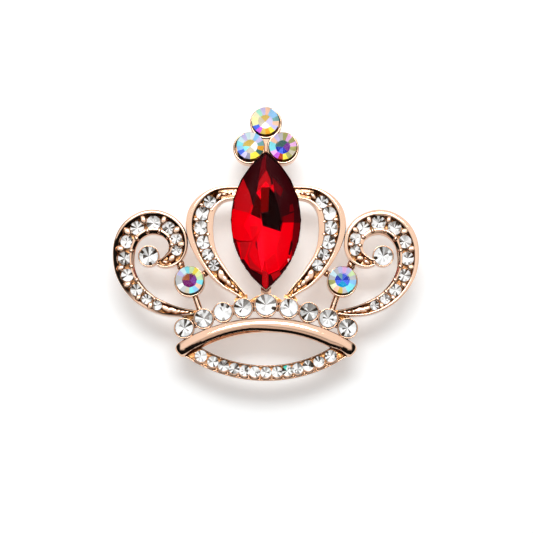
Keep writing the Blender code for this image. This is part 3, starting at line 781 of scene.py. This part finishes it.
# Painted shade in crevices, warm and then deep, and how near their walls are, in metres
PAINTED_WARM_SHADE = (0.62, 0.29, 0.1)
PAINTED_DEEP_SHADE = (0.1, 0.035, 0.012)
PAINTED_SHADE_REACH = 0.0007
RIPPLE_HEIGHT = 0.0002

LOOKS = bpy.data.collections.new("crown_looks")
bpy.context.scene.collection.children.link(LOOKS)
POLISHED = plated_metal("rose_gold_polished", ROSE, ROSE_SHADE, 0.07, 0.12, 450)
# A darker, browner copy of the rose gold for channel floors, links and webs: painted shade in the recesses,
# on a rougher, bumpier surface
RECESS_PAINTED_SHADE = plated_metal("rose_gold_recess_painted_shade", (0.55, 0.27, 0.12), (0.38, 0.15, 0.05), 0.22, 0.5, 2600)
CAST = plated_metal("rose_gold_cast", ROSE, ROSE_SHADE, 0.16, 0.3, 1300)
STEEL = plated_metal("pin_steel", (0.78, 0.76, 0.74), (0.6, 0.58, 0.56), 0.2, 0.05, 1500)
METALS = (POLISHED, RECESS_PAINTED_SHADE, CAST)
CRYSTALS = (glass("crystal_glass", (1, 1, 1), 1.45), foil("crystal_foil"))
RAINBOW_CRYSTALS = (glass("rainbow_glass", (1, 1, 1), 1.33), foil("rainbow_foil"))
RUBIES = (glass("ruby_glass", (1.0, 0.35, 0.35), 1.14), foil("ruby_foil"))


# ---- the crown


def rail_section(width, raised, outside, inside=LEDGED_RIDGE):
    floor = FLOOR + (RAISED_FLOOR - FLOOR) * raised
    return channel_section(width, rail_rims, RAIL_HEIGHTS, floor, outside, inside)


def left_section(width, raised, share):
    """The left scroll's outer rim falls steeply to the stones, up to the turn at its top."""
    level = min(1.0, max(0.0, (share - 0.44) / 0.12))
    return rail_section(width, raised, blended(STEEP_RIDGE, BROAD_RIDGE, level))


def right_section(width, raised, share):
    """The right scroll's rims are plain, with a ledge inside up to the turn at its top."""
    level = min(1.0, max(0.0, (share - 0.5) / 0.12))
    return rail_section(width, raised, PLAIN_RIDGE, blended(LEDGED_RIDGE, PLAIN_RIDGE, level))


def petal_section(width, raised, share):
    return rail_section(width, raised, PLAIN_RIDGE, PLAIN_RIDGE)


def band_section(width, raised, share):
    return channel_section(width, band_rims, BAND_HEIGHTS, FLOOR)


def pairs(places):
    """Neighbouring places, two by two: their points and radii, and the direction between them."""
    for (x0, z0, r0), (x1, z1, r1) in zip(places, places[1:]):
        a, b = Vector((x0, z0)), Vector((x1, z1))
        yield a, r0, b, r1, (b - a).normalized()


def grips(shape, places, reach, height, length, width):
    """Lumps between neighbouring stones that hold them down: long on the outer side, short on the inner."""
    for a, r0, b, r1, step in pairs(places):
        middle = a.lerp(b, r0 / (r0 + r1))
        side = Vector((step.y, -step.x))
        spread = reach * (r0 + r1) / 2
        for shift, share in ((1.05, 1.0), (-1.05, 0.6)):
            place = middle + side * shift * spread + step * random.uniform(-0.08, 0.08)
            turn = atan2(side.y, side.x) + random.uniform(-0.25, 0.25)
            size = share * random.uniform(0.85, 1.15)
            shape.add(*lump(place.x, height, place.y, length * size, width * size, 0.36, turn))


def tail_bits(shape, line, start, end, count, size):
    """Uneven raised bits in the narrow foot of a channel, where there are no stones."""
    for i in range(count):
        share = i / max(count - 1, 1)
        distance = start + (end - start) * share
        point, ahead = along(line, distance), along(line, distance + 0.1)
        turn = atan2(ahead.y - point.y, ahead.x - point.x) + random.uniform(-0.6, 0.6)
        radius = size * (0.5 + 0.5 * share) * random.uniform(0.75, 1.2)
        long = radius * random.uniform(1.0, 1.7)
        shape.add(*lump(point.x, RAISED_FLOOR + 0.05, point.y, long, radius * 0.75, 0.32, turn))


def petals():
    stations = stations_of((*PETAL_FOOT, *PETAL[4:]))
    line = channel_line(stations, row_rims)
    places = row_of_stones(channel_line(stations_of(PETAL), row_rims), PETAL_ROW)
    metal = Shape()
    metal.add(*rail(stations, petal_section, PETAL_FILLED))
    grips(metal, places, reach=0.78, height=1.78, length=0.5, width=0.32)
    tail_bits(metal, line, start=1.2, end=4.25, count=5, size=0.8)
    tail_bits(metal, line, start=18.8, end=17.2, count=3, size=0.52)
    for word, mirror in (("right", False), ("left", True)):
        stones = Stones()
        stones.row(places, RAIL_GIRDLE)
        metal.build(f"{word}_petal_metal", METALS, "rose_gold", replaces=[f"{word}_petal"], mirror=mirror)
        stones.build(f"{word}_petal_crystals", CRYSTALS, "crystal", [f"{word}_petal_stones"], mirror)


def scrolls():
    places = row_of_stones(channel_line(stations_of(SCROLL), row_rims), SCROLL_ROW)
    stations = stations_of((*SCROLL_FOOT, *SCROLL[4:16], *SCROLL_NECK))
    line = channel_line(stations, row_rims)
    end_x, end_z, end_radius = place_of("right_scroll_end_stone")
    for word, mirror, section in (("right", False, right_section), ("left", True, left_section)):
        metal, stones = Shape(), Stones()
        metal.add(*rail(stations, section, SCROLL_FILLED))
        metal.add(*seat(end_x, end_z, end_radius, CUP_GIRDLE, 0.16))
        grips(metal, places, reach=0.78, height=1.87, length=0.68, width=0.5)
        tail_bits(metal, line, start=1.0, end=4.0, count=6, size=0.68)
        tail_bits(metal, line, start=30.6, end=28.4, count=3, size=0.62)
        stones.row(places, RAIL_GIRDLE)
        stones.brilliant(end_x, end_z, end_radius, CUP_GIRDLE, random.random())
        metal.build(f"{word}_scroll_metal", METALS, "rose_gold", replaces=[f"{word}_scroll"], mirror=mirror)
        nodes = [f"{word}_scroll_stone_{n:02d}" for n in range(1, 12)]
        nodes.append(f"{word}_scroll_end_stone")
        stones.build(f"{word}_scroll_crystals", CRYSTALS, "crystal", nodes, mirror)


def seat(x, z, radius, girdle, wall, lip=0.05, segments=40):
    """A round cup: a wall with a rolled rim, open at the front."""
    inner, outer = radius + 0.03, radius + 0.05 + wall
    rim = girdle + lip
    profile = [(0, 0.4), (inner, 0.4), (inner, rim - wall * 0.5)]
    for i in range(1, 6):
        turn = pi * i / 6
        across = inner + (outer - inner) * (1 - cos(turn)) / 2
        profile.append((across, rim - wall * 0.5 * (1 - sin(turn))))
    profile.extend([(outer, rim - wall * 0.6), (outer - 0.02, 0.12), (outer - 0.14, 0), (0, 0)])
    return turned(profile, (x, z), segments)


# Thin plates that join the rails' feet to the gallery: outlines on the right-hand side
FOOT_WEBS = (
    (
        *((4.15, 12.75), (3.3, 12.3), (2.65, 12.35), (2.55, 11.9)),
        *((3.5, 11.6), (4.35, 11.0), (4.45, 11.6), (4.1, 12.1)),
    ),
    ((9.7, 10.1), (12.3, 10.1), (11.9, 9.3), (11.4, 8.6), (10.2, 8.6)),
    ((0.9, 12.3), (1.5, 12.0), (2.3, 11.5), (2.1, 11.0), (1.4, 11.1)),
)
# Bits of solder at the feet and on the side cup's links: (x, z, half length, half width, turn)
FOOT_BITS = ((3.85, 12.1, 0.42, 0.25, 0.9), (10.5, 9.5, 0.5, 0.28, 0.3), (11.35, 9.2, 0.35, 0.25, 1.2))
LINK_BITS = ((12.05, 16.45, 0.75, 0.5, 2.0), (8.65, 15.2, 0.5, 0.42, 0.4))
LINK_PLAY = 0.1


def web(shape, outline, low, high, slot=0, side=1):
    """A plate between two heights over an outline, on the right (1) or turned over to the left (-1)."""
    points, faces = plate([(side * x, z) for x, z in outline], low, high)
    shape.add([seated(point, (0, 0)) for point in points], faces, slot)


def link(shape, start, end, heights, radius, slot):
    """A straight wire between two (x, z) points."""
    shape.add(*tube([(start[0], heights[0], start[1]), (end[0], heights[1], end[1])], radius), slot)


def solder_bit(shape, side, x, z, long, wide, turn):
    """A rough lump with a bright one on its upper left."""
    turn = turn if side == 1 else pi - turn
    shape.add(*lump(side * x, 1.25, z, long, wide, 0.45, turn), 2)
    shape.add(*lump(side * x - 0.08, 1.6, z + 0.06, long * 0.7, wide * 0.65, 0.3, turn))


def gallery():
    metal, stones = Shape(), Stones()
    nodes = [f"gallery_stone_{n}" for n in range(1, 10)]
    places = [place_of(node) for node in nodes]
    for x, z, radius in places:
        metal.add(*seat(x, z - 0.04, radius, CUP_GIRDLE, 0.17))
    stones.row(places, CUP_GIRDLE)
    metal.add(*tube(smooth([(x, 0.5, z - 0.1) for x, z, _ in places], 6), 0.42))
    for a, r0, b, r1, step in pairs(places):
        link(metal, a + step * (r0 + LINK_PLAY), b - step * (r1 + LINK_PLAY), (0.95, 0.95), 0.5, 1)
    bar_apex, bar_radius, _ = BAR_TOP
    bar_centre = Vector((0, bar_apex + bar_radius))
    for x, z, radius in places[1:-1]:
        middle = Vector((x, z))
        down = (bar_centre - middle).normalized()
        reach = (bar_centre - middle).length - abs(bar_radius)
        link(metal, middle + down * radius, middle + down * (reach - 0.02), (1.0, 0.9), 0.42, 1)
    for a, r0, b, r1, step in pairs(places):
        middle = a.lerp(b, (r0 + 0.19) / (r0 + r1 + 0.38))
        for reach, size in ((0.55, 0.24), (-0.55, 0.2)):
            place = middle + Vector((-step.y, step.x)) * reach
            metal.add(*bead(place.x, 1.4, place.y, size, 1.6))
    for side in (1, -1):
        for outline in FOOT_WEBS:
            web(metal, outline, 0.3, 1.25, 1, side)
        for bit in FOOT_BITS:
            solder_bit(metal, side, *bit)
    metal.build("gallery_metal", METALS, "rose_gold", replaces=["gallery_cups"])
    stones.build("gallery_crystals", CRYSTALS, "crystal", nodes)


def bar_profile(share):
    """The bar's lower side is fuller on its left half and at its right end."""
    left, right = (0.1 - share) / 0.3, (share - 0.78) / 0.12
    return blended(BAR_PROFILE, FULL_BAR_PROFILE, max(0.0, min(1.0, left), min(1.0, right)))


def arch_bar():
    """The polished bar: a round back on straight sides, with blunt rounded ends."""
    rings = []
    count = 140
    edge_drop = BAR_PROFILE[0][1]
    for i in range(count + 1):
        share = BAR_REACH * sin(pi / 2 * (1 - 2 * i / count))
        outer, inner = arc_edge(BAR_TOP, share), arc_edge(BAR_BOTTOM, share)
        nose = min(1.0, (BAR_REACH - abs(share)) / BAR_NOSE)
        swell = sqrt(max(0.0, 1 - (1 - nose) ** 2))
        middle = outer.lerp(inner, 0.5)
        upper, lower = BAR_SPREAD * (0.15 + 0.85 * swell), BAR_SPREAD * (0.4 + 0.6 * swell)
        outer, inner = middle.lerp(outer, upper), middle.lerp(inner, lower)
        half = (inner - outer).length / 2
        side = (BAR_HEIGHT - BAR_FALL * share * share - edge_drop * half) * (0.6 + 0.4 * swell)
        back = [(across, side + (edge_drop - drop) * half) for across, drop in smooth(bar_profile(share), 3)]
        profile = [(0.08, 0.0), (0.0, 0.18), *back, (1.0, 0.18), (0.92, 0.0)]
        rings.append([spot_between(outer, inner, across, height) for across, height in profile])
    metal = Shape()
    metal.add(*loft(rings))
    metal.build("arch_bar_metal", METALS, "rose_gold", replaces=["arch_bar"])


def band():
    metal, stones = Shape(), Stones()
    stations = arc_stations(BAND_BOTTOM, BAND_TOP, 100)
    metal.add(*rail(stations, band_section))
    line = channel_line(stations, band_rims)
    length = sum((b - a).length for a, b in zip(line, line[1:]))
    left = [(length / 2 - distance, diameter) for distance, diameter in reversed(BAND_ROW)]
    right = [(length / 2 + distance, diameter) for distance, diameter in BAND_ROW[1:]]
    places = row_of_stones(line, left + right)
    grips(metal, places, reach=1.0, height=1.3, length=0.2, width=0.17)
    for i, (x, z, radius) in enumerate(places):
        glint = GLINT if i == GLINT_STONE else None
        stones.brilliant(x, z, radius * STONE_FIT, BAND_GIRDLE, random.random(), glint=glint)
    wave = []
    for x, z, radius in places:
        below = atan2(z - BAND_CENTRE_Z, x)
        for i in range(9):
            turn = below + SCALLOP_SPREAD * (i / 4 - 1)
            reach = radius * SCALLOP_REACH
            wave.append((x + reach * cos(turn), SCALLOP_HEIGHT, z + reach * sin(turn)))
    metal.add(*tube(wave, SCALLOP_WIRE, 8))
    for distance in (0.25, 0.6, length - 0.6, length - 0.25):
        point = along(line, distance)
        metal.add(*lump(point.x, FLOOR + 0.1, point.y, 0.22, 0.16, 0.35, random.uniform(0, 3)))
    metal.build("band_metal", METALS, "rose_gold", replaces=["band_rail"])
    stones.build("band_crystals", CRYSTALS, "crystal", ["band_stones"])


# Colours of the rainbow stones' slices, anticlockwise from the right: 16 outer ones, then 8 under the table.
# They are the coating's rainbow colours together with painted reflections: light, silver and dark slices
# fixed in place.
WHITE, CREAM, YELLOW, GOLD = (0.95, 0.95, 0.93), (0.95, 0.92, 0.6), (0.95, 0.78, 0.08), (0.68, 0.48, 0.1)
AMBER, PEACH, RED_BROWN, OLIVE = (0.8, 0.36, 0.03), (0.95, 0.6, 0.42), (0.45, 0.05, 0.02), (0.42, 0.42, 0.14)
AQUA, SKY, BLUE, ICE = (0.25, 0.8, 0.9), (0.3, 0.6, 0.93), (0.08, 0.16, 0.8), (0.7, 0.9, 0.96)
LILAC, PINK, MAGENTA, PURPLE = (0.62, 0.58, 0.9), (0.9, 0.5, 0.85), (0.62, 0.12, 0.75), (0.2, 0.04, 0.3)
MINT, TEAL, GREEN, SILVER = (0.4, 0.85, 0.65), (0.2, 0.42, 0.42), (0.05, 0.14, 0.12), (0.55, 0.55, 0.57)
LEMON, PALE_GREEN, SLATE, BEIGE = (0.92, 0.95, 0.45), (0.66, 0.82, 0.45), (0.28, 0.28, 0.4), (0.6, 0.55, 0.42)
PLUM, RUST, INDIGO, SEA = (0.16, 0.01, 0.12), (0.42, 0.1, 0.03), (0.02, 0.04, 0.45), (0.01, 0.3, 0.55)

RAINBOWS = {
    "finial_stone_top": (
        *(TEAL, SKY, SKY, PEACH, LILAC, MINT, CREAM, LEMON),
        *(LEMON, BLUE, MAGENTA, GOLD, AMBER, YELLOW, LILAC, PEACH),
        *(LILAC, GOLD, GOLD, BEIGE, BEIGE, WHITE, WHITE, LILAC),
    ),
    "finial_stone_left": (
        *(TEAL, LILAC, SKY, WHITE, ICE, LILAC, ICE, AQUA),
        *(SKY, BLUE, LILAC, SLATE, YELLOW, YELLOW, GREEN, AMBER),
        *(WHITE, GOLD, GOLD, GOLD, AQUA, BEIGE, BEIGE, WHITE),
    ),
    "finial_stone_right": (
        *(PINK, OLIVE, PINK, OLIVE, SILVER, LILAC, PEACH, AQUA),
        *(AQUA, PINK, MAGENTA, RED_BROWN, YELLOW, OLIVE, BEIGE, OLIVE),
        *(PURPLE, GREEN, GREEN, GREEN, INDIGO, BLUE, INDIGO, PURPLE),
    ),
    "left_side_stone": (
        *(PALE_GREEN, LEMON, YELLOW, PALE_GREEN, AQUA, ICE, LILAC, SILVER),
        *(SILVER, WHITE, SILVER, BEIGE, AQUA, SKY, PEACH, AQUA),
        *(PURPLE, PLUM, RUST, RUST, PLUM, PLUM, PLUM, PURPLE),
    ),
    "right_side_stone": (
        *(SILVER, PALE_GREEN, LILAC, PINK, LILAC, SILVER, ICE, SILVER),
        *(OLIVE, CREAM, PEACH, GOLD, SILVER, AQUA, AQUA, SKY),
        *(INDIGO, BLUE, TEAL, INDIGO, BLUE, SEA, SEA, BLUE),
    ),
}


# How far the finial's stones sit off their cups' middles
FINIAL_SHIFTS = {
    "finial_stone_top": (-0.08, 0.3),
    "finial_stone_left": (0.18, 0.36),
    "finial_stone_right": (0.0, 0.28),
}
FINIAL_NECK = ((-0.7, 34.35), (-0.45, 33.2), (-0.5, 31.2), (0.5, 31.2), (0.45, 33.2), (0.7, 34.35))
FINIAL_FOOT = 30.4
# The outer ends of a side cup's links, right-hand side
LINK_ENDS = ((9.36, 10.24), (12.12, 16.84), (8.5, 15.45))


def rainbow_stone(stones, node, girdle, shift):
    x, z, radius = place_of(node)
    stones.brilliant(x + shift[0], z + shift[1], radius, girdle, tints=RAINBOWS[node])


def finial():
    metal, stones = Shape(), Stones()
    for node, shift in FINIAL_SHIFTS.items():
        x, z, radius = place_of(node)
        metal.add(*seat(x, z + 0.06, radius, FINIAL_GIRDLE, 0.28, 0.0, 56))
        rainbow_stone(stones, node, FINIAL_GIRDLE + 0.2, shift)
    top_z = place_of("finial_stone_top")[1]
    backbone = ((-0.75, FINIAL_FOOT), (0.75, FINIAL_FOOT), (0.75, top_z), (-0.75, top_z))
    web(metal, backbone, 0.02, 0.42)
    web(metal, FINIAL_NECK, 0.3, 2.5)
    metal.build("finial_metal", METALS, "rose_gold", replaces=["finial_cups"])
    stones.build("finial_crystals", RAINBOW_CRYSTALS, "rainbow_crystal", list(FINIAL_SHIFTS))


def side_cups():
    x, z, radius = place_of("right_side_stone")
    for word, side in (("right", 1), ("left", -1)):
        metal, stone = Shape(), Stones()
        metal.add(*seat(side * x, z - 0.06, radius, SIDE_GIRDLE, 0.2, 0.0, 56))
        for end_x, end_z in LINK_ENDS:
            away = Vector((end_x - x, end_z - z)).normalized()
            start = Vector((x, z)) + away * (radius + LINK_PLAY)
            end = Vector((end_x, end_z)) + away * 0.25
            link(metal, (side * start.x, start.y), (side * end.x, end.y), (1.0, 1.0), 0.45, 2)
        for bit in LINK_BITS:
            solder_bit(metal, side, *bit)
        metal.build(f"{word}_side_cup_metal", METALS, "rose_gold", replaces=[f"{word}_side_cup"])
        node = f"{word}_side_stone"
        rainbow_stone(stone, node, SIDE_GIRDLE + 0.1, (0.03 * side, 0.16))
        stone.build(f"{word}_side_crystal", RAINBOW_CRYSTALS, "rainbow_crystal", [node])


def carried_over():
    """CAD nodes whose shape is right take finished materials."""
    nodes = dict.fromkeys(("marquise_cup", "hinge_bracket", "catch_housing", "catch_rotor"), CAST)
    nodes.update(hinge_rivet=STEEL, pin_stem=STEEL)
    for name, material in nodes.items():
        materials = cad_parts[name].data.materials
        materials.clear()
        materials.append(material)


# ---- stage


TABLE_Y = 2.2
CAMERA_DISTANCE = 300
VIEW_WIDTH = 75.15
VIEW_BELOW = radians(7)
VIEW_CENTRE = (0.08, 16.2)
ROOM_LIGHT = 1.5
PAPER = (0.89, 0.92, 0.93, 1)
PLAIN_WALL = (0.93, 0.93, 0.93, 1)


def math_node(tree, operation, *sources):
    node = new_node(tree, "Math")
    node.operation = operation
    for place, source in enumerate(sources):
        tree.links.new(source, node.inputs[place])
    return node.outputs["Value"]


def switch_shaders(tree, share, first, second, output):
    choose = new_node(tree, "MixShader")
    for place, source in enumerate((share, first, second)):
        tree.links.new(source, choose.inputs[place])
    tree.links.new(choose.outputs["Shader"], output.inputs["Surface"])


def table():
    """The pale surface that the brooch lies on, upright behind it. It can be looked through from behind."""
    upright = (radians(90), 0, 0)
    bpy.ops.mesh.primitive_plane_add(size=1.2, location=(0, TABLE_Y * MM, 0), rotation=upright)
    sheet = bpy.context.object
    sheet.name = "table_surface"
    material, tree, shader = new_material("table_paper")
    set_inputs(shader, {"Base Color": PAPER, "Roughness": 0.7})
    set_inputs(shader, {"Emission Color": (1, 1, 1, 1), "Emission Strength": 0.25})
    behind = new_node(tree, "NewGeometry").outputs["Backfacing"]
    clear = new_node(tree, "BsdfTransparent").outputs["BSDF"]
    switch_shaders(tree, behind, shader.outputs["BSDF"], clear, tree.nodes["Material Output"])
    sheet.data.materials.append(material)
    sheet.visible_shadow = False


def surroundings():
    """A room that is bright in front and above, and dark below, overhead and to the sides. It looks plain."""
    world = bpy.data.worlds.new("studio")
    bpy.context.scene.world = world
    world.use_nodes = True
    tree = world.node_tree
    tree.nodes.clear()
    coordinates = new_node(tree, "TexCoord")
    split = new_node(tree, "SeparateXYZ")
    tree.links.new(coordinates.outputs["Generated"], split.inputs["Vector"])
    sideways = math_node(tree, "ABSOLUTE", split.outputs["X"])
    level = ramp_node(tree, split.outputs["Z"], -0.5, -0.08, 0.01, ROOM_LIGHT)
    sides = ramp_node(tree, sideways, 0.5, 0.68, 1.0, 0.01)
    overhead = ramp_node(tree, split.outputs["Z"], 0.9, 0.97, 1.0, 0.1)
    for limit in (sides, overhead):
        level = math_node(tree, "MULTIPLY", level, limit)
    room = new_node(tree, "Background")
    tree.links.new(level, room.inputs["Strength"])
    plain = new_node(tree, "Background")
    plain.inputs["Color"].default_value = PLAIN_WALL
    seen = new_node(tree, "LightPath").outputs["Is Camera Ray"]
    output = new_node(tree, "OutputWorld")
    switch_shaders(tree, seen, room.outputs["Background"], plain.outputs["Background"], output)


# The lamps: place and size in metres, power and colour
LAMPS = {
    "key_above": ((0.0, -0.45, 0.17), (0.22, 0.12), 1.0, (1, 1, 1)),
    "fill_low": ((0.0, -0.34, -0.26), (0.16, 0.16), 0.06, (1.0, 0.93, 0.88)),
    "back_fill": ((0.0, 0.5, 0.2), (0.5, 0.5), 0.6, (1, 1, 1)),
}


def lights():
    """Lamps that face the crown's middle."""
    for name, (place, size, power, colour) in LAMPS.items():
        data = bpy.data.lights.new(name, "AREA")
        data.shape = "RECTANGLE"
        data.size, data.size_y = size
        data.energy = power
        data.color = colour
        lamp = bpy.data.objects.new(name, data)
        bpy.context.scene.collection.objects.link(lamp)
        lamp.location = place
        lamp.rotation_euler = (-Vector(place)).to_track_quat("-Z", "Y").to_euler()


def camera():
    data = bpy.data.cameras.new("camera")
    data.sensor_width = 36
    data.clip_start = 0.01
    data.lens = data.sensor_width * CAMERA_DISTANCE / VIEW_WIDTH
    eye = bpy.data.objects.new("camera", data)
    bpy.context.scene.collection.objects.link(eye)
    aim = spot(VIEW_CENTRE[0], 2.0, VIEW_CENTRE[1])
    turn = Matrix.Rotation(VIEW_BELOW, 3, "X")
    eye.location = aim + turn @ Vector((0, -CAMERA_DISTANCE * MM, 0))
    eye.rotation_euler = (aim - eye.location).to_track_quat("-Z", "Y").to_euler()
    bpy.context.scene.camera = eye


petals()
scrolls()
gallery()
arch_bar()
band()
finial()
side_cups()
marquise_stone()
carried_over()
table()
surroundings()
lights()
camera()
bpy.context.scene.view_settings.view_transform = "Standard"
